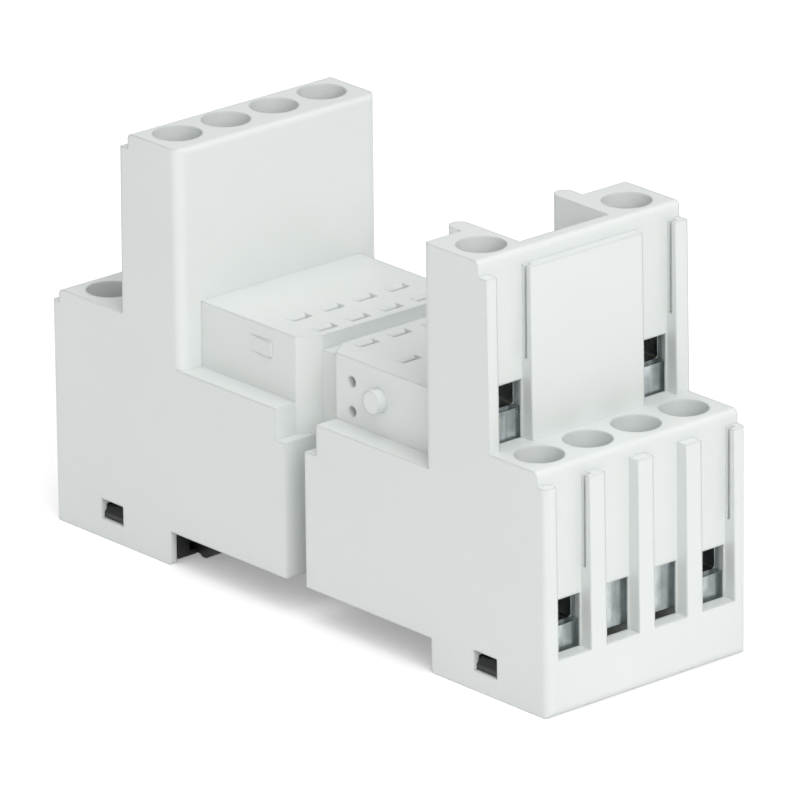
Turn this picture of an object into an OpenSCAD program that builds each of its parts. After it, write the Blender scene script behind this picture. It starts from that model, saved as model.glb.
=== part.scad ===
// Plug-in relay socket for a 35 mm top-hat rail: fourteen poles, four changeover
// contacts and a coil. One light grey moulding carries the relay between two
// terminal towers. Each terminal is a screw that lifts a cage against a fixed
// contact strip, and the strip ends in a fork under its slot in the seat.
// +X runs across the rail towards the coil end, +Z is up away from the rail.

/* [Housing] */
// Length across the rail, end to end
body_l = 77.2; // [76.6:0.1:82]
// Width along the rail
body_w = 27; // [27:0.1:31]
// Height of the two towers above the feet
tower_h = 45.8; // [44.5:0.1:50]
// Height of the two lower tiers
tier_h = 25.9; // [24.5:0.1:27.5]
// Height of the seat the relay stands on
seat_h = 29; // [28:0.1:31]
// Height of the ledge along both sides of the seat
ledge_h = 21.9; // [19:0.1:24]
// Width of the seat, the same as the relay
seat_w = 21.5; // [21.5:0.1:22.2]
// Depth of the feet below the rail face
foot_h = 3.75; // [3.4:0.05:4.2]
// Length of the foot that holds the latch
latch_foot_l = 18.95; // [18:0.05:20]
// Length of the foot with the fixed hook
hook_foot_l = 17.65; // [16.5:0.05:18.5]
// Lean of the end faces, in mm per mm of height
draft = 0.013; // [0:0.001:0.03]
// Length of the plain tower, seat side to outer face
tower_l = 7.9; // [7.8:0.05:8.4]
// Length of the coil tower, seat side to outer face
coil_tower_l = 8.5; // [8.4:0.05:9]
// Distance from the middle of the body to the seat side of the plain tower
tower_in_n = 17.45; // [17:0.05:18]
// Distance from the middle of the body to the seat side of the coil tower
tower_in_p = 20; // [19.8:0.05:20.4]
// Width of the pocket in the coil tower
pocket_w = 11.9; // [11:0.1:12.4]

/* [Terminals] */
// Thickness of the side wall beside the outermost well
side_wall = 1.2; // [1.1:0.05:1.5]
// Bore of a screwdriver well
well_d = 5.1; // [4.9:0.05:5.3]
// Width of a wire entry
entry_w = 3.7; // [3.4:0.05:3.9]
// Height of a wire entry in the lower tiers
entry_h = 5.7; // [5.4:0.1:6]
// Terminal screw thread
screw_d = 3; // [2.6:0.1:3.2]
// Distance a cage travels between open and closed
cage_rise = 2.9; // [2.4:0.1:3]

/* [Relay contacts] */
// Distance between neighbouring columns of blades
pin_pitch = 4.4; // [4.3:0.05:4.5]
// Distance of the two inner rows of blades from the groove between them
row_in = 3.2; // [3:0.05:3.4]
// Distance from the inner to the outer contact row
row_step = 4.05; // [3.9:0.05:4.2]
// Distance from the inner row to the coil row
coil_step = 6.45; // [6.2:0.05:6.7]
// Length of a blade slot
slot_l = 2.45; // [2.2:0.05:2.7]
// Thickness of the contact strip
strip_t = 0.7; // [0.6:0.05:0.8]

/* [Rail latch] */
// Width of the latch slide
latch_w = 20; // [18:0.1:20.4]
// Distance the latch moves to free the rail
latch_travel = 2; // [1.5:0.1:2.2]

/* [Hidden] */
$fn = 48;
eps = 0.01;
over = 1;

ends = [-1, 1];
xl = body_l / 2;
yw = body_w / 2;
seat_y = seat_w / 2;
skin = 0.75;
end_wall = 1.5;
corner_r = 1;
foot_r = 1;
tower_r = 1.2;
edge_r = 0.6;

// grooves across the seat and down both sides
groove_x = 0.43;
groove_w = 3;
groove_top = 1.55;
mouth_w = 6.3;
mouth_h = 3.4;
low_slot_x = 0.2;
low_slot_w = 3.1;

// ribs, recesses and wire entries of the end faces
setback = 1.55;
tower_rib = 1.2;
rib_drop = 1.5;
tower_rib_drop = 1.65;
recess_near = 2.35;
recess_far = 2.05;
label_slot_x = 0.25;
label_slot_w = 0.4;
label_slot_deep = 0.8;
label_slot_h = 9.8;
rib_z = tier_h - rib_drop;
tower_rib_z = tower_h - tower_rib_drop;
face_n = -tower_in_n - tower_l;
face_p = tower_in_p + coil_tower_l;
pocket_wall = 1.75;
pocket_y = -0.45;
finger_t = 2.2;
finger_l = 2.05;

// terminal stack: heights are measured from the underside of the contact strip
tier_axis = xl - 5.4;
axis_n = -tower_in_n - 4.45;
axis_p = tower_in_p + 4.8;
term_pitch = (body_w - well_d - 2 * side_wall) / 3;
entry_roof = 0.2;
high_entry_h = 6.2;
low_well = 4.9;
high_well = 4.5;
cell_w = 4.9;
cell_back = 2.6;
cell_front = 2.7;
rim_t = 0.2;
cell_top = 8.2;
neck_h = 0.8;
low_z = tier_h - low_well - neck_h - cell_top;
high_z = tower_h - high_well - neck_h - cell_top;
sill_z = low_z - entry_roof - entry_h;
high_sill_z = max(tier_h, high_z - entry_roof - high_entry_h);
neck_d = 4;
head_d = 4.5;
head_h = 1.8;
head_z = 6.2;
recess_d = head_d - 1.2;
recess_w = 0.7;
recess_deep = 1;
cage_w = 4.6;
cage_back = 2.4;
cage_front = 2.6;
cage_t = 0.55;
cage_floor = 0.8;
cage_roof = 1.5;
cage_gap = 3.1;
fold_r = 0.9;
skirt_w = 4.75;
skirt_h = 4.4;
thread_fit = 0.1;

// contact strips and the channels they lie in
strip_w = 2.2;
tongue_w = 3.1;
tongue_end = 1.9;
channel_w = 2.6;
groove_wall = 0.55;
groove_end = 1.5 * pin_pitch + channel_w / 2 + groove_wall;
high_run_z = 20;
channel_top = high_run_z + strip_t + 0.2;
leg_at = cell_back + 0.1;
bend_n = -tower_in_n - 0.4;
bend_p = tower_in_p + 0.65;
jog = 8;
fork_w = 2.2;
tine_t = 0.5;
tine_gap = 0.7;
tine_h = 7.6;
fork_r = tine_gap / 2 + tine_t;
chamber_w = 2 * fork_r + 0.4;
roof = 1.5;
slot_w = 0.65;
lead_in = 0.35;

// base cover, latch and its spring
fit = 0.15;
plate_t = 0.8;
foot_top = 3.5;
cover_top = 4.75;
cover_z = 0.5;
cover_w = body_w - 2 * skin - 0.3;
web_l = 1.5;
lug_x = 29.1;
hatch_l = 3.5;
hatch_z = 2.15;
hatch_h = 2.2;
rail_w = 35;
rail_t = 1;
foot_n = -xl + latch_foot_l;
foot_p = xl - hook_foot_l;
hook_l = 2.6;
hook_w = 15;
hook_x = foot_p - hook_l;
lip_l = 1.8;
lip_t = 0.7;
nose_under = 1.3;
nose_x = hook_x - rail_w + nose_under;
latch_t = 1.85;
latch_z = 0.55;
latch_end = -xl + end_wall + latch_travel + 0.5;
gate_w = 9;
tail_w = 8;
key_w = 0.8;
key_t = 0.7;
key_z = latch_z + 0.6;
guide_y = latch_w / 2 + 0.1;
spring_x = latch_end + 3;
spring_l = 7.2;
spring_w = 7;
spring_t = 0.45;
spring_h = 1.1;
spring_legs = 6;
post_l = 1.3;

// blade rows, from the tower without a pocket to the coil tower
rows = [
    groove_x - row_in - row_step, groove_x - row_in,
    groove_x + row_in, groove_x + row_in + coil_step,
];

function term_y(k) = (k - 1.5) * term_pitch;
function pin_y(k) = (k - 1.5) * pin_pitch;

// each terminal: axis, column, side the wire enters, strip height, blade row, cage shut
terms = [
    for (k = [0:3]) [axis_n, k, -1, high_z, 0, false],
    for (k = [0:3]) [-tier_axis, k, -1, low_z, 1, false],
    for (k = [0:3]) [tier_axis, k, 1, low_z, 2, k == 1 || k == 2],
    for (k = [0, 3]) [axis_p, k, 1, high_z, 3, false],
];

function is_high(t) = t[3] > tier_h;
function block_face(t) = is_high(t) ? (t[2] > 0 ? face_p : -face_n) : xl - setback;

// a profile drawn in X and Z, w wide along Y
module across(w) {
    rotate([90, 0, 0])
        translate([0, 0, -w / 2])
            linear_extrude(w)
                children();
}

// the same thing on both sides of the middle plane
module both_sides() {
    children();
    mirror([0, 1, 0])
        children();
}

// turns a thing drawn for the +X end round to the end that a terminal faces
module facing(side) {
    mirror([side < 0 ? 1 : 0, 0, 0])
        children();
}

// what is left outside a quarter circle: takes the edge off a corner at the origin
module corner_2d(r) {
    difference() {
        translate([-over, -over])
            square(r + over);
        translate([r, r])
            circle(r);
    }
}

// ---- housing --------------------------------------------------------------

// side view of the moulding: feet, tiers, towers and seat, with the ribs' lean
module outline() {
    lean = draft * rib_z;
    foot_lean = draft * (tower_rib_z - tier_h);
    difference() {
        polygon([
            [-xl, 0], [-xl + lean, rib_z], [-xl + setback, rib_z], [-xl + setback, tier_h],
            [face_n - tower_rib - foot_lean, tier_h], [face_n - tower_rib, tower_rib_z],
            [face_n, tower_rib_z], [face_n, tower_h], [-tower_in_n, tower_h],
            [-tower_in_n, seat_h], [tower_in_p, seat_h], [tower_in_p, tower_h],
            [face_p, tower_h], [face_p, tower_rib_z], [face_p + tower_rib, tower_rib_z],
            [face_p + tower_rib + foot_lean, tier_h], [xl - setback, tier_h], [xl - setback, rib_z],
            [xl - lean, rib_z], [xl, 0], [foot_p, 0], [foot_p, foot_h],
            [foot_n, foot_h], [foot_n, 0],
        ]);
        translate([-xl, 0])
            corner_2d(foot_r);
        translate([xl, 0])
            mirror([1, 0])
                corner_2d(foot_r);
        translate([foot_n, 0])
            mirror([1, 0])
                corner_2d(foot_r / 2);
        translate([foot_p, 0])
            corner_2d(foot_r / 2);
        for (p = [[-xl + setback, tier_h], [face_n, tower_h], [tower_in_p, tower_h]])
            translate(p)
                mirror([0, 1])
                    corner_2d(edge_r);
        for (p = [[xl - setback, tier_h], [face_p, tower_h], [-tower_in_n, tower_h]])
            translate(p)
                mirror([1, 0])
                    mirror([0, 1])
                        corner_2d(edge_r);
    }
}

// plan of the moulding, with its upright corners rounded
module plan() {
    core_l = body_l - 2 * corner_r;
    core_w = body_w - 2 * corner_r;
    square([body_l, core_w], center = true);
    square([core_l, body_w], center = true);
    for (sx = ends, sy = ends)
        translate([sx * core_l / 2, sy * core_w / 2])
            circle(corner_r);
}

// steps back the sides above the ledge, to the width of the relay
module seat_sides() {
    both_sides()
        translate([-tower_in_n, seat_y, ledge_h])
            cube([tower_in_n + tower_in_p, yw, tower_h]);
}

// upright corners of the towers beside the seat
module tower_corners() {
    for (s = ends)
        translate([s > 0 ? tower_in_p : -tower_in_n, 0, ledge_h])
            facing(s)
                both_sides()
                    translate([0, -yw, 0])
                        linear_extrude(tower_h)
                            corner_2d(tower_r);
}

module grooves() {
    translate([groove_x - groove_w / 2, -yw - over, seat_h - groove_top])
        cube([groove_w, body_w + 2 * over, groove_top + over]);
    both_sides() {
        translate([low_slot_x - low_slot_w / 2, groove_end, -over])
            cube([low_slot_w, yw, ledge_h - mouth_h + over + eps]);
        translate([groove_x, 0, ledge_h - mouth_h])
            linear_extrude(seat_h)
                polygon([
                    [-groove_w / 2, groove_end], [-mouth_w / 2, seat_y], [-mouth_w / 2, yw + over],
                    [mouth_w / 2, yw + over], [mouth_w / 2, seat_y], [groove_w / 2, groove_end],
                ]);
    }
}

// well, neck and cell of one terminal, open down to the base cover
module terminal_shaft(t) {
    translate([t[0], term_y(t[1]), 0]) {
        translate([0, 0, t[3] + cell_top + neck_h])
            cylinder(d = well_d, h = tower_h);
        translate([0, 0, t[3] + cell_top - eps])
            cylinder(d = neck_d, h = neck_h + 2 * eps);
        facing(t[2])
            translate([-cell_back, -cell_w / 2, -over])
                cube([cell_back + cell_front, cell_w, t[3] + cell_top + over]);
    }
}

// recess between the ribs in front of one terminal, its wire entry and label slot
module wire_entry(t) {
    face = block_face(t);
    axis = abs(t[0]);
    entry_top = t[3] - entry_roof;
    floor_z = is_high(t) ? tier_h : sill_z;
    entry_z = is_high(t) ? high_sill_z : sill_z;
    top = is_high(t) ? tower_rib_z : rib_z;
    translate([0, term_y(t[1]), 0])
        facing(t[2]) {
            translate([face, -recess_near, floor_z])
                cube([2 * setback, recess_near + recess_far, tower_h]);
            translate([axis, -entry_w / 2, entry_z])
                cube([face - axis + over, entry_w, entry_top - entry_z]);
            translate([axis, -cell_w / 2, -over])
                cube([face - axis - rim_t, cell_w, entry_top + over]);
            if (t[1] == 0 || t[1] == 3)
                translate([face + label_slot_x, recess_far - eps, top - label_slot_h])
                    cube([label_slot_w, label_slot_deep + eps, label_slot_h + over]);
        }
}

// plan of a strip that steps sideways from the terminal pitch to the blade pitch
module strip_path(x0, x1, k, side, w) {
    x2 = side > 0 ? bend_p : bend_n;
    x3 = x2 - side * jog;
    centre = [[x0, term_y(k)], [x2, term_y(k)], [x3, pin_y(k)], [x1, pin_y(k)]];
    near = [for (p = centre) p - [0, w / 2]];
    far = [for (i = [3:-1:0]) centre[i] + [0, w / 2]];
    polygon(concat(near, far));
}

// upright channel that the strips of one column lie in, one above the other
module strip_channel(k, side) {
    row = side > 0 ? rows[2] : rows[1];
    translate([0, 0, -over])
        linear_extrude(channel_top + over)
            strip_path(side * tier_axis, row - side * chamber_w / 2, k, side, channel_w);
}

// upright channel behind a high cell, for the leg of its strip
module leg_channel(t) {
    translate([t[0] - t[2] * (cell_back + 0.5) - 0.6, term_y(t[1]) - channel_w / 2, -over])
        cube([1.2, channel_w, high_z + strip_t + 0.3 + over]);
}

// slot for one relay blade with its lead-in, and the chamber of the fork below it
module blade_slot(row, k) {
    translate([rows[row], pin_y(k), 0]) {
        translate([-chamber_w / 2, -channel_w / 2, high_run_z - over])
            cube([chamber_w, channel_w, seat_h - roof - high_run_z + over]);
        translate([-slot_w / 2, -slot_l / 2, high_run_z])
            cube([slot_w, slot_l, seat_h]);
        translate([0, 0, seat_h])
            across(slot_l)
                polygon([
                    [-slot_w / 2, -lead_in], [slot_w / 2, -lead_in], [slot_w / 2 + lead_in, 0],
                    [slot_w / 2 + lead_in, over], [-slot_w / 2 - lead_in, over],
                    [-slot_w / 2 - lead_in, 0],
                ]);
    }
}

// walls of the pocket that reach past the tower, with rounded ends
module pocket_fingers() {
    translate([tower_in_p, pocket_y, seat_h - over])
        both_sides()
            translate([finger_t / 2 - finger_l, (pocket_w + finger_t) / 2, 0])
                linear_extrude(tower_h - seat_h + over) {
                    translate([0, -finger_t / 2])
                        square([finger_l + edge_r, finger_t]);
                    circle(finger_t / 2);
                }
}

// wedge that the relay's retaining clip snaps over
module clip_catch() {
    translate([groove_x - 10.25, seat_y, seat_h - 3.25])
        linear_extrude(1.75)
            polygon([[0, -over], [3.5, -over], [3.5, 0.35], [0, 0]]);
}

// stub that the retaining clip swings on
module clip_stub() {
    translate([groove_x + 9.75, seat_y - over, ledge_h + 3.7])
        rotate([-90, 0, 0])
            cylinder(d = 2.5, h = over + 1.1);
}

module clip_holes() {
    for (z = [1.4, 4.6])
        translate([groove_x + 5.65, seat_y - 1.6, ledge_h + z])
            rotate([-90, 0, 0])
                cylinder(d = 1.15, h = 1.6 + over);
}

module foot_hatches() {
    both_sides()
        for (s = ends)
            translate([s * lug_x - hatch_l / 2, yw - skin - over, hatch_z])
                cube([hatch_l, skin + 2 * over, hatch_h]);
}

// block round a side groove, grown by gap on the three sides away from the outside
module groove_block(gap) {
    both_sides()
        translate([low_slot_x - low_slot_w / 2 - gap, groove_end - gap, -over])
            cube([low_slot_w + 2 * gap, yw, 2 * over + cover_top]);
}

// room for the base cover, deeper between the feet and walled off from the grooves
module floor_recess() {
    inner_w = body_w - 2 * skin;
    step_l = web_l + fit;
    difference() {
        union() {
            translate([-xl + end_wall, -inner_w / 2, -over])
                cube([body_l - 2 * end_wall, inner_w, over + foot_top + 0.1]);
            translate([foot_n - step_l, -inner_w / 2, -over])
                cube([foot_p - foot_n + 2 * step_l, inner_w, over + cover_top + 0.1]);
        }
        groove_block(skin);
    }
}

// opening in the end wall for the tail of the latch
module latch_gate() {
    translate([-xl - over, -gate_w / 2, -over])
        cube([end_wall + 2 * over, gate_w, over + foot_top - plate_t]);
}

module housing() {
    color("lightgray")
        union() {
            difference() {
                intersection() {
                    across(body_w)
                        outline();
                    linear_extrude(tower_h)
                        plan();
                }
                seat_sides();
                tower_corners();
                grooves();
                translate([tower_in_p - over, pocket_y - pocket_w / 2, seat_h])
                    cube([coil_tower_l - pocket_wall + over, pocket_w, tower_h]);
                for (t = terms) {
                    terminal_shaft(t);
                    wire_entry(t);
                    if (is_high(t))
                        leg_channel(t);
                }
                for (k = [0:3], side = ends)
                    strip_channel(k, side);
                for (row = [0:3], k = row < 3 ? [0:3] : [0, 3])
                    blade_slot(row, k);
                both_sides()
                    clip_holes();
                foot_hatches();
                floor_recess();
                latch_gate();
            }
            pocket_fingers();
            both_sides() {
                clip_catch();
                clip_stub();
            }
        }
}

// ---- base cover -----------------------------------------------------------

// lug that snaps into a window of the foot, ramped on top
module snap_lug() {
    out = yw - 0.3;
    in = cover_w / 2;
    lug_l = hatch_l - 2 * fit;
    z = hatch_z + fit;
    translate([-lug_l / 2, 0, 0])
        rotate([90, 0, 90])
            linear_extrude(lug_l)
                polygon([
                    [in - over, z], [out, z], [out, z + 0.5],
                    [in, foot_top], [in - over, foot_top],
                ]);
}

// fixed hook: stop face for the edge of the rail and a lip under it
module rail_hook() {
    z = foot_h - rail_t - 0.15;
    across(hook_w)
        polygon([
            [foot_p + web_l, cover_z], [hook_x - 0.4, cover_z], [hook_x - lip_l, z - lip_t],
            [hook_x - lip_l, z], [hook_x, z], [hook_x, cover_top], [foot_p + web_l, cover_top],
        ]);
}

// side rail with the keyway that the latch slides in
module latch_rail() {
    x0 = -xl + end_wall + fit;
    w = cover_w / 2 - guide_y;
    keyway_t = key_t + 0.2;
    translate([x0, guide_y, cover_z])
        difference() {
            cube([foot_n - x0, w, foot_top - cover_z]);
            translate([-over, -over, key_z - 0.1 - cover_z])
                cube([foot_n - x0 + 2 * over, over + key_w + 0.1, keyway_t]);
        }
}

module base_cover() {
    x0 = -xl + end_wall + fit;
    x1 = xl - end_wall - fit;
    rim_t = 1.2;
    color("#1c1d1f")
        difference() {
            union() {
                translate([x0, -cover_w / 2, foot_top - plate_t])
                    cube([foot_n - x0, cover_w, plate_t]);
                translate([foot_p, -cover_w / 2, foot_top - plate_t])
                    cube([x1 - foot_p, cover_w, plate_t]);
                translate([foot_n - web_l, -cover_w / 2, cover_top - plate_t])
                    cube([foot_p - foot_n + web_l + over, cover_w, plate_t]);
                translate([foot_n - web_l, -cover_w / 2, foot_top - plate_t])
                    cube([web_l, cover_w, cover_top - foot_top + plate_t]);
                translate([foot_p, -cover_w / 2, cover_z])
                    cube([web_l, cover_w, cover_top - cover_z]);
                rail_hook();
                both_sides() {
                    latch_rail();
                    translate([foot_p, cover_w / 2 - rim_t, cover_z])
                        cube([x1 - foot_p, rim_t, foot_top - cover_z]);
                    for (s = ends)
                        translate([s * lug_x, 0, 0])
                            snap_lug();
                }
                translate([x1 - rim_t, -cover_w / 2, cover_z])
                    cube([rim_t, cover_w, foot_top - cover_z]);
                translate([spring_x - post_l, -1.2, latch_z + 0.1])
                    cube([post_l, 2.4, foot_top - plate_t - latch_z]);
            }
            groove_block(skin + fit);
        }
}

// ---- rail latch and spring --------------------------------------------------

module rail_latch() {
    tail = -xl + 0.4;
    window_w = spring_w + 1.6;
    window_x = spring_x - post_l - 0.3;
    color("#2a2b2d")
        difference() {
            union() {
                across(latch_w)
                    polygon([
                        [latch_end, latch_z], [foot_n + 0.4, latch_z], [foot_n + 0.8, latch_z - 0.25],
                        [foot_n + 1.4, latch_z - 0.25], [nose_x, latch_z + latch_t - 0.5],
                        [nose_x, latch_z + latch_t], [latch_end, latch_z + latch_t],
                    ]);
                translate([latch_end, -guide_y - key_w + 0.1, key_z])
                    cube([foot_n - latch_end - 2 * over, 2 * (guide_y + key_w - 0.1), key_t]);
                translate([tail, -tail_w / 2, latch_z])
                    cube([latch_end - tail + over, tail_w, latch_t]);
            }
            translate([window_x, -window_w / 2, 0])
                cube([spring_x + spring_l + spring_t - window_x, window_w, foot_h]);
            translate([tail + 1.2, -1.75, 0])
                cube([1.2, 3.5, foot_h]);
        }
}

// flat zigzag spring between the post of the base cover and the latch
module latch_spring() {
    pitch = spring_l / spring_legs;
    bend_r = pitch / 2;
    leg = spring_w - 2 * bend_r - spring_t;
    color("silver")
        translate([spring_x, 0, latch_z + (latch_t - spring_h) / 2])
            union() {
                for (i = [0:spring_legs])
                    translate([i * pitch, -leg / 2 - eps, 0])
                        cube([spring_t, leg + 2 * eps, spring_h]);
                for (i = [0:spring_legs - 1])
                    translate([(i + 0.5) * pitch + spring_t / 2, (i % 2 == 0 ? 1 : -1) * leg / 2, 0])
                        rotate([0, 0, i % 2 == 0 ? 0 : 180])
                            rotate_extrude(angle = 180)
                                translate([bend_r - spring_t / 2, 0])
                                    square([spring_t, spring_h]);
            }
}

// ---- terminals ----------------------------------------------------------------

// captive screw: it turns but stays at its height, and its tip bears on the strip
module terminal_screw(i) {
    t = terms[i - 1];
    color("silver")
        translate([t[0], term_y(t[1]), t[3]])
            difference() {
                union() {
                    translate([0, 0, strip_t])
                        cylinder(d = screw_d, h = head_z);
                    translate([0, 0, head_z])
                        cylinder(d = head_d, h = head_h);
                }
                translate([0, 0, head_z + head_h - recess_deep])
                    for (a = [0, 90])
                        rotate([0, 0, a])
                            translate([-recess_d / 2, -recess_w / 2, 0])
                                cube([recess_d, recess_w, recess_deep + over]);
            }
}

// rectangle between two corners, with rounded corners
module rounded_2d(low, high, r) {
    translate([low[0] + r, low[1]])
        square([high[0] - low[0] - 2 * r, high[1] - low[1]]);
    translate([low[0], low[1] + r])
        square([high[0] - low[0], high[1] - low[1] - 2 * r]);
    for (y = [low[0] + r, high[0] - r], z = [low[1] + r, high[1] - r])
        translate([y, z])
            circle(r);
}

// cage folded from strip: its floor runs forward to a skirt that shuts the entry below it
module cage_clamp(i) {
    t = terms[i - 1];
    lift = t[5] ? cage_rise : 0;
    half_w = cage_w / 2;
    in_w = half_w - cage_t;
    bottom = -cage_gap - cage_floor;
    roof_z = strip_t + fit;
    color("gainsboro")
        translate([t[0], term_y(t[1]), t[3] + lift])
            facing(t[2])
                difference() {
                    union() {
                        translate([-cage_back, 0, 0])
                            rotate([90, 0, 90])
                                linear_extrude(cage_back + cage_front)
                                    difference() {
                                        rounded_2d([-half_w, bottom], [half_w, roof_z + cage_roof], fold_r);
                                        rounded_2d([-in_w, -cage_gap], [in_w, roof_z], fold_r - cage_t);
                                    }
                        translate([cage_front - cage_t, -in_w, bottom])
                            cube([2 * cage_t, 2 * in_w, cage_t]);
                        translate([cage_front, -skirt_w / 2, bottom - skirt_h])
                            cube([cage_t, skirt_w, skirt_h + cage_t]);
                    }
                    cylinder(d = screw_d + thread_fit, h = roof_z + cage_roof + over);
                }
}

// two tines that grip a blade, on a stem that rises from the strip
module fork(x, k, z0) {
    z1 = seat_h - roof - 0.3;
    zs = z1 - tine_h;
    half = tine_gap / 2;
    grip = 0.16;
    translate([x, pin_y(k), 0]) {
        across(fork_w)
            polygon([
                [-fork_r, zs - tine_t], [fork_r, zs - tine_t], [fork_r, z1], [half + 0.15, z1],
                [half - grip, z1 - 1.4], [half, z1 - 2.6], [half, zs], [-half, zs],
                [-half, z1 - 2.6], [-half + grip, z1 - 1.4], [-half - 0.15, z1], [-fork_r, z1],
            ]);
        if (zs - tine_t > z0 + strip_t)
            translate([-strip_t / 2, -strip_w / 2, z0])
                cube([strip_t, strip_w, zs - z0]);
    }
}

// contact strip: tongue in the cage, leg where the terminal is high, run and fork
module contact_strip(i) {
    t = terms[i - 1];
    y = term_y(t[1]);
    run_z = is_high(t) ? high_run_z : low_z;
    leg_x = t[0] - t[2] * leg_at;
    color("goldenrod")
        union() {
            translate([t[0], y, t[3]])
                facing(t[2]) {
                    translate([-cell_back + 0.1, -tongue_w / 2, 0])
                        cube([cell_back - 0.1 + tongue_end, tongue_w, strip_t]);
                    translate([-leg_at, -strip_w / 2, 0])
                        cube([leg_at, strip_w, strip_t]);
                    if (is_high(t))
                        translate([-leg_at - strip_t, -strip_w / 2, high_run_z - high_z])
                            cube([strip_t + eps, strip_w, high_z - high_run_z + strip_t]);
                }
            translate([0, 0, run_z])
                linear_extrude(strip_t)
                    strip_path(leg_x, rows[t[4]] - t[2] * strip_t / 2, t[1], t[2], strip_w);
            fork(rows[t[4]], t[1], run_z);
        }
}

housing();
base_cover();
rail_latch();
latch_spring();
terminal_screw(1);  // screw_1
terminal_screw(2);  // screw_2
terminal_screw(3);  // screw_3
terminal_screw(4);  // screw_4
terminal_screw(5);  // screw_5
terminal_screw(6);  // screw_6
terminal_screw(7);  // screw_7
terminal_screw(8);  // screw_8
terminal_screw(9);  // screw_9
terminal_screw(10);  // screw_10
terminal_screw(11);  // screw_11
terminal_screw(12);  // screw_12
terminal_screw(13);  // screw_13
terminal_screw(14);  // screw_14
cage_clamp(1);  // clamp_1
cage_clamp(2);  // clamp_2
cage_clamp(3);  // clamp_3
cage_clamp(4);  // clamp_4
cage_clamp(5);  // clamp_5
cage_clamp(6);  // clamp_6
cage_clamp(7);  // clamp_7
cage_clamp(8);  // clamp_8
cage_clamp(9);  // clamp_9
cage_clamp(10);  // clamp_10
cage_clamp(11);  // clamp_11
cage_clamp(12);  // clamp_12
cage_clamp(13);  // clamp_13
cage_clamp(14);  // clamp_14
contact_strip(1);  // contact_1
contact_strip(2);  // contact_2
contact_strip(3);  // contact_3
contact_strip(4);  // contact_4
contact_strip(5);  // contact_5
contact_strip(6);  // contact_6
contact_strip(7);  // contact_7
contact_strip(8);  // contact_8
contact_strip(9);  // contact_9
contact_strip(10);  // contact_10
contact_strip(11);  // contact_11
contact_strip(12);  // contact_12
contact_strip(13);  // contact_13
contact_strip(14);  // contact_14
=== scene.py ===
import math

import bmesh
import bpy
from mathutils import Matrix, Vector


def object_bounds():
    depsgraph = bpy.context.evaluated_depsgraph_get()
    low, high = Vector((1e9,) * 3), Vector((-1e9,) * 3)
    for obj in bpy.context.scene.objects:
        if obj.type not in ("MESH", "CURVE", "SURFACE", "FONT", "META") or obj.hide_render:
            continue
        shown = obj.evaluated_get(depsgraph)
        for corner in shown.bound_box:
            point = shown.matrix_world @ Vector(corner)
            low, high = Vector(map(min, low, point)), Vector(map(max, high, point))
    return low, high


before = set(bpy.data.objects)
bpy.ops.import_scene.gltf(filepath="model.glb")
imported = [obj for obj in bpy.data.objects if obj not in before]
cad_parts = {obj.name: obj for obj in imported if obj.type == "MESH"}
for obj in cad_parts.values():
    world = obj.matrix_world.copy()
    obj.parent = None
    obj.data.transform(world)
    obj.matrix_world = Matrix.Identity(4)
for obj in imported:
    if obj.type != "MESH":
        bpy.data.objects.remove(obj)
cad_low, cad_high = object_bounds()
mm = 0.001


# ---- housing -----------------------------------------------------------------
# One injection moulding in light grey self-extinguishing plastic, from a tool
# that was spark eroded to a fine satin. Every outer edge has a small radius, and
# the flow of the melt leaves the colour a little uneven from wall to wall.


class Value:
    """A socket in a material. Sums and products of values add Math nodes."""

    def __init__(self, tree, socket):
        self.tree = tree
        self.socket = socket

    def node(self, kind, settings=None, inputs=None, output=0):
        made = self.tree.nodes.new(kind)
        for name, setting in (settings or {}).items():
            setattr(made, name, setting)
        for name, value in (inputs or {}).items():
            if isinstance(value, Value):
                self.tree.links.new(value.socket, made.inputs[name])
            else:
                made.inputs[name].default_value = value
        return Value(self.tree, made.outputs[output])

    def math(self, operation, *others):
        return self.node("ShaderNodeMath", {"operation": operation}, dict(enumerate((self, *others))))

    def __add__(self, other):
        return self.math("ADD", other)

    def __mul__(self, other):
        return self.math("MULTIPLY", other)

    __radd__ = __add__
    __rmul__ = __mul__

    def noise(self, scale, detail=2.0, roughness=0.5):
        """Noise over the object, scale in features a metre."""
        settings = {"noise_dimensions": "3D"}
        inputs = {"Vector": self, "Scale": scale, "Detail": detail, "Roughness": roughness}
        return self.node("ShaderNodeTexNoise", settings, inputs)

    def between(self, low, high):
        """0 under low, 1 over high and smooth in between."""
        settings = {"interpolation_type": "SMOOTHSTEP"}
        return self.node("ShaderNodeMapRange", settings, {"Value": self, "From Min": low, "From Max": high})

    def blend(self, first, second):
        """Colour that goes from first to second as this value goes from 0 to 1."""
        inputs = {"Factor": self, 6: first, 7: second}
        return self.node("ShaderNodeMix", {"data_type": "RGBA"}, inputs, output=2)

    def stretched(self, x, y, z):
        """The same place with each axis multiplied."""
        return self.node("ShaderNodeVectorMath", {"operation": "MULTIPLY"}, {0: self, 1: (x, y, z)})


def material(name, **constants):
    """A node material, its shader, and the place on the object as a value."""
    made = bpy.data.materials.new(name)
    made.use_nodes = True
    tree = made.node_tree
    shader = tree.nodes["Principled BSDF"]
    for socket, constant in constants.items():
        shader.inputs[socket.replace("_", " ")].default_value = constant
    place = Value(tree, tree.nodes.new("ShaderNodeTexCoord").outputs["Object"])
    return made, shader, place


def drive(shader, **values):
    """Links values to sockets of the shader."""
    for socket, value in values.items():
        value.tree.links.new(value.socket, shader.inputs[socket.replace("_", " ")])


def rounded_bump(height, radius, strength, depth):
    """Normal of a surface whose edges have a radius, with a fine relief on it."""
    edge = height.node("ShaderNodeBevel", {"samples": 6}, {"Radius": radius})
    inputs = {"Strength": strength, "Distance": depth, "Height": height, "Normal": edge}
    return height.node("ShaderNodeBump", None, inputs)


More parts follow.
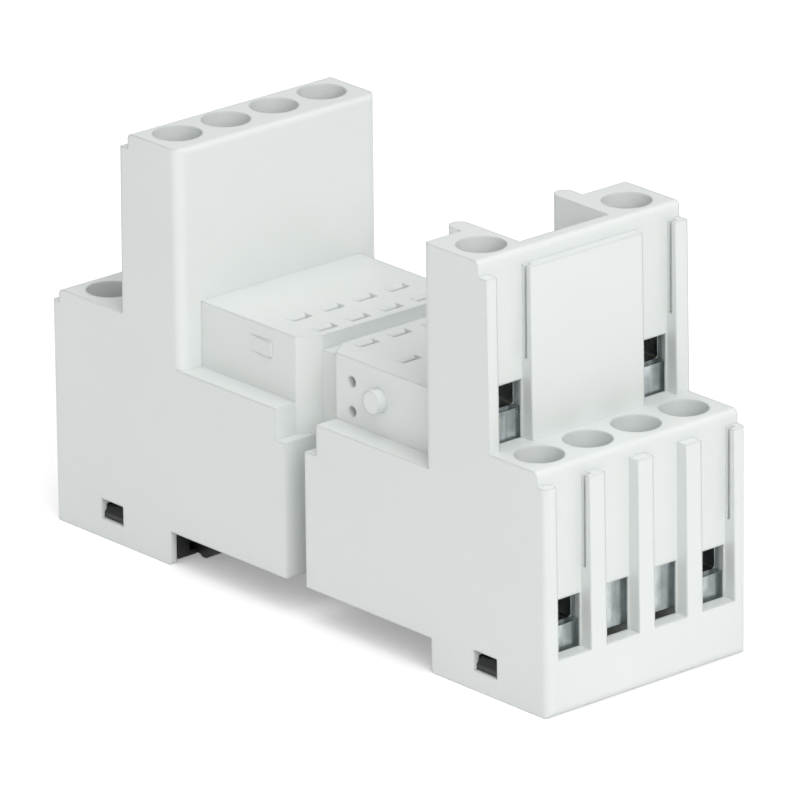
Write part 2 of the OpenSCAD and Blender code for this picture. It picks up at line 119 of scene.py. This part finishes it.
def dress(node_name, paint):
    """Gives a CAD node one material all over."""
    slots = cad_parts[node_name].data.materials
    if not slots:
        slots.append(paint)
    for index in range(len(slots)):
        slots[index] = paint


def moulded_plastic(name, light, dark, radius, roughness=0.42):
    """Satin moulded plastic: spark-eroded grain, slow shifts of colour, soft edges."""
    made, shader, place = material(name, IOR=1.5)
    flow = place.noise(45.0, 3.0, 0.6)
    speck = place.noise(2600.0, 2.0, 0.6)
    grain = place.noise(5200.0, 3.0, 0.7)
    mix = flow * 0.75 + speck * 0.25
    drive(
        shader,
        Base_Color=mix.between(0.32, 0.68).blend(dark, light),
        Roughness=flow * 0.08 + grain * 0.1 + (roughness - 0.09),
        Normal=rounded_bump(grain, radius, 0.16, 0.03 * mm),
    )
    return made


light_grey = (0.725, 0.752, 0.738, 1.0)
shade_grey = (0.70, 0.729, 0.713, 1.0)
housing_radius = 0.35 * mm
dress("housing", moulded_plastic("housing_grey", light_grey, shade_grey, housing_radius))


# ---- base cover ----------------------------------------------------------------
# Black moulding that closes the underside and hooks on the rail. Its lugs snap
# into the windows of the feet. The tool is left a little rougher than the housing's.

cover_black = (0.017, 0.018, 0.019, 1.0)
cover_dark = (0.011, 0.0115, 0.012, 1.0)
cover_radius = 0.2 * mm
cover_roughness = 0.48
dress("base_cover", moulded_plastic("cover_black", cover_black, cover_dark, cover_radius, cover_roughness))


# ---- rail latch ------------------------------------------------------------------
# Black slide under the left foot, moulded in a slippery plastic and polished a
# little by the rail and by its keyways, so it shines more than the cover.

latch_black = (0.024, 0.025, 0.026, 1.0)
latch_dark = (0.015, 0.0155, 0.016, 1.0)
latch_radius = 0.2 * mm
latch_roughness = 0.36
dress("rail_latch", moulded_plastic("latch_black", latch_black, latch_dark, latch_radius, latch_roughness))


# ---- latch spring ----------------------------------------------------------------
# Flat zigzag spring, punched from hardened strip. Its faces keep the mill's roll
# lines along X, and it lies between the latch and the foot's end wall.

def plated_metal(name, bright, dull, roughness, radius, lines=(1.0, 1.0, 1.0)):
    """Plated sheet or turned metal: fine drawn lines, patches in the plating."""
    made, shader, place = material(name, Metallic=1.0)
    drawn = place.stretched(*lines).noise(2500.0, 3.0, 0.65)
    patch = place.noise(420.0, 3.0, 0.6)
    drive(
        shader,
        Base_Color=(patch * 0.6 + drawn * 0.4).between(0.3, 0.7).blend(dull, bright),
        Roughness=patch * 0.16 + drawn * 0.14 + (roughness - 0.15),
        Normal=rounded_bump(drawn, radius, 0.22, 0.02 * mm),
    )
    return made


spring_bright = (0.50, 0.50, 0.49, 1.0)
spring_dull = (0.33, 0.33, 0.33, 1.0)
spring_radius = 0.06 * mm
spring_roughness = 0.3
rolled_along_x = (0.1, 1.0, 1.0)
spring_steel = plated_metal(
    "spring_steel", spring_bright, spring_dull, spring_roughness, spring_radius, rolled_along_x,
)
dress("latch_spring", spring_steel)


# ---- cage clamps -----------------------------------------------------------------
# Cages folded from steel strip and zinc plated bright with a clear passivation
# that leans to blue. The strip's rolling lines run up the side walls.

zinc_bright = (0.70, 0.74, 0.76, 1.0)
zinc_dull = (0.42, 0.455, 0.46, 1.0)
fold_radius = 0.1 * mm
zinc_roughness = 0.24
rolled_upright = (1.0, 1.0, 0.12)
clamp_zinc = plated_metal("clamp_zinc", zinc_bright, zinc_dull, zinc_roughness, fold_radius, rolled_upright)
terminals = range(1, 15)
for number in terminals:
    dress(f"clamp_{number}", clamp_zinc)


# ---- terminal screws -------------------------------------------------------------
# Captive cheese-head screws with a crossed recess, turned from steel and zinc
# plated. The plating is fine grained and patchy, a little duller here and there.

head_bright = (0.66, 0.68, 0.69, 1.0)
head_dull = (0.40, 0.42, 0.43, 1.0)
head_radius = 0.12 * mm
head_roughness = 0.28
screw_steel = plated_metal("screw_steel", head_bright, head_dull, head_roughness, head_radius)
for number in terminals:
    dress(f"screw_{number}", screw_steel)


# ---- contact strips ----------------------------------------------------------------
# Stamped copper alloy, tin plated over nickel: a warm silver with faint rolling
# lines along the strip. Each lies in its own channel and ends in a fork.

tin_bright = (0.72, 0.69, 0.61, 1.0)
tin_dull = (0.50, 0.45, 0.36, 1.0)
strip_radius = 0.08 * mm
tin_roughness = 0.3
rolled_along_strip = (0.12, 1.0, 1.0)
contact_tin = plated_metal(
    "contact_brass", tin_bright, tin_dull, tin_roughness, strip_radius, rolled_along_strip,
)
for number in terminals:
    dress(f"contact_{number}", contact_tin)


# ---- floor, light and camera -----------------------------------------------------
# The socket stands on a pale floor that runs out to white. A large soft box is on
# the coil end's side, another is overhead, and a weak one fills the long side.

middle = (cad_low + cad_high) / 2

floor_mesh = bpy.data.meshes.new("floor")
sheet = bmesh.new()
floor_reach = 6.0
bmesh.ops.create_grid(sheet, x_segments=1, y_segments=1, size=floor_reach)
sheet.to_mesh(floor_mesh)
sheet.free()
floor = bpy.data.objects.new("floor", floor_mesh)
bpy.context.scene.collection.objects.link(floor)


def white_to_camera(tree, shade, colour, strength):
    """Adds a glow that only camera, mirror and glass rays see."""
    rays = tree.nodes.new("ShaderNodeLightPath")
    seen = Value(tree, rays.outputs["Is Camera Ray"])
    mirrored = Value(tree, rays.outputs["Is Glossy Ray"])
    through = Value(tree, rays.outputs["Is Transmission Ray"])
    shown = (seen + mirrored + through).math("MINIMUM", 1.0)
    glow = shown.node("ShaderNodeEmission", None, {"Color": colour, "Strength": shown * strength})
    return shown.node("ShaderNodeAddShader", None, {0: shade, 1: glow})


floor_paint, floor_shader, floor_place = material("floor_paint", Roughness=0.9)
paper_dull = (0.88, 0.88, 0.88, 1.0)
paper_pale = (0.9, 0.9, 0.9, 1.0)
white = (1.0, 1.0, 1.0, 1.0)
floor_glow = 0.3
drive(floor_shader, Base_Color=floor_place.noise(3.0).blend(paper_dull, paper_pale))
floor_tree = floor_paint.node_tree
lit_floor = white_to_camera(floor_tree, Value(floor_tree, floor_shader.outputs[0]), white, floor_glow)
floor_tree.links.new(lit_floor.socket, floor_tree.nodes["Material Output"].inputs["Surface"])
floor_mesh.materials.append(floor_paint)

world = bpy.data.worlds.new("studio")
world.use_nodes = True
bpy.context.scene.world = world
sky_tree = world.node_tree
sky_rays = Value(sky_tree, sky_tree.nodes.new("ShaderNodeLightPath").outputs["Is Camera Ray"])
sky = sky_tree.nodes["Background"]
ambient = 0.45
sky.inputs["Color"].default_value = white
sky_tree.links.new((sky_rays * (1.0 - ambient) + ambient).socket, sky.inputs["Strength"])


def soft_box(name, direction, distance, width, power):
    """Square area lamp that faces the middle of the socket."""
    lamp = bpy.data.lights.new(name, "AREA")
    lamp.size = width
    lamp.energy = power
    made = bpy.data.objects.new(name, lamp)
    toward = Vector(direction).normalized()
    made.location = middle + toward * distance
    made.rotation_euler = toward.to_track_quat("Z", "Y").to_euler()
    bpy.context.scene.collection.objects.link(made)


soft_box("end_box", (0.80, -0.30, 0.55), distance=1.0, width=0.7, power=5.5)
soft_box("top_box", (0.10, 0.05, 1.0), distance=1.0, width=0.8, power=3.8)
soft_box("side_box", (-0.25, -0.90, 0.35), distance=1.2, width=0.8, power=1.2)

azimuth = math.radians(48.971)
elevation = math.radians(20.283)
roll = math.radians(-0.658)
toward_camera = Vector((
    math.sin(azimuth) * math.cos(elevation), -math.cos(azimuth) * math.cos(elevation), math.sin(elevation),
))
level = Vector((math.cos(azimuth), math.sin(azimuth), 0.0))
upward = toward_camera.cross(level)
right = level * math.cos(roll) + upward * math.sin(roll)
over = upward * math.cos(roll) - level * math.sin(roll)
aim = middle + Vector((1.075, 0.0, -2.425)) * mm
camera_distance = 1.05816
lens = bpy.data.cameras.new("camera")
lens.sensor_width = 36.0
lens.lens = 466.7
lens.clip_end = 20.0
camera = bpy.data.objects.new("camera", lens)
stand = Matrix((right, over, toward_camera)).transposed().to_4x4()
stand.translation = aim + toward_camera * camera_distance
camera.matrix_world = stand
bpy.context.scene.collection.objects.link(camera)
bpy.context.scene.camera = camera
bpy.context.scene.view_settings.view_transform = "Standard"
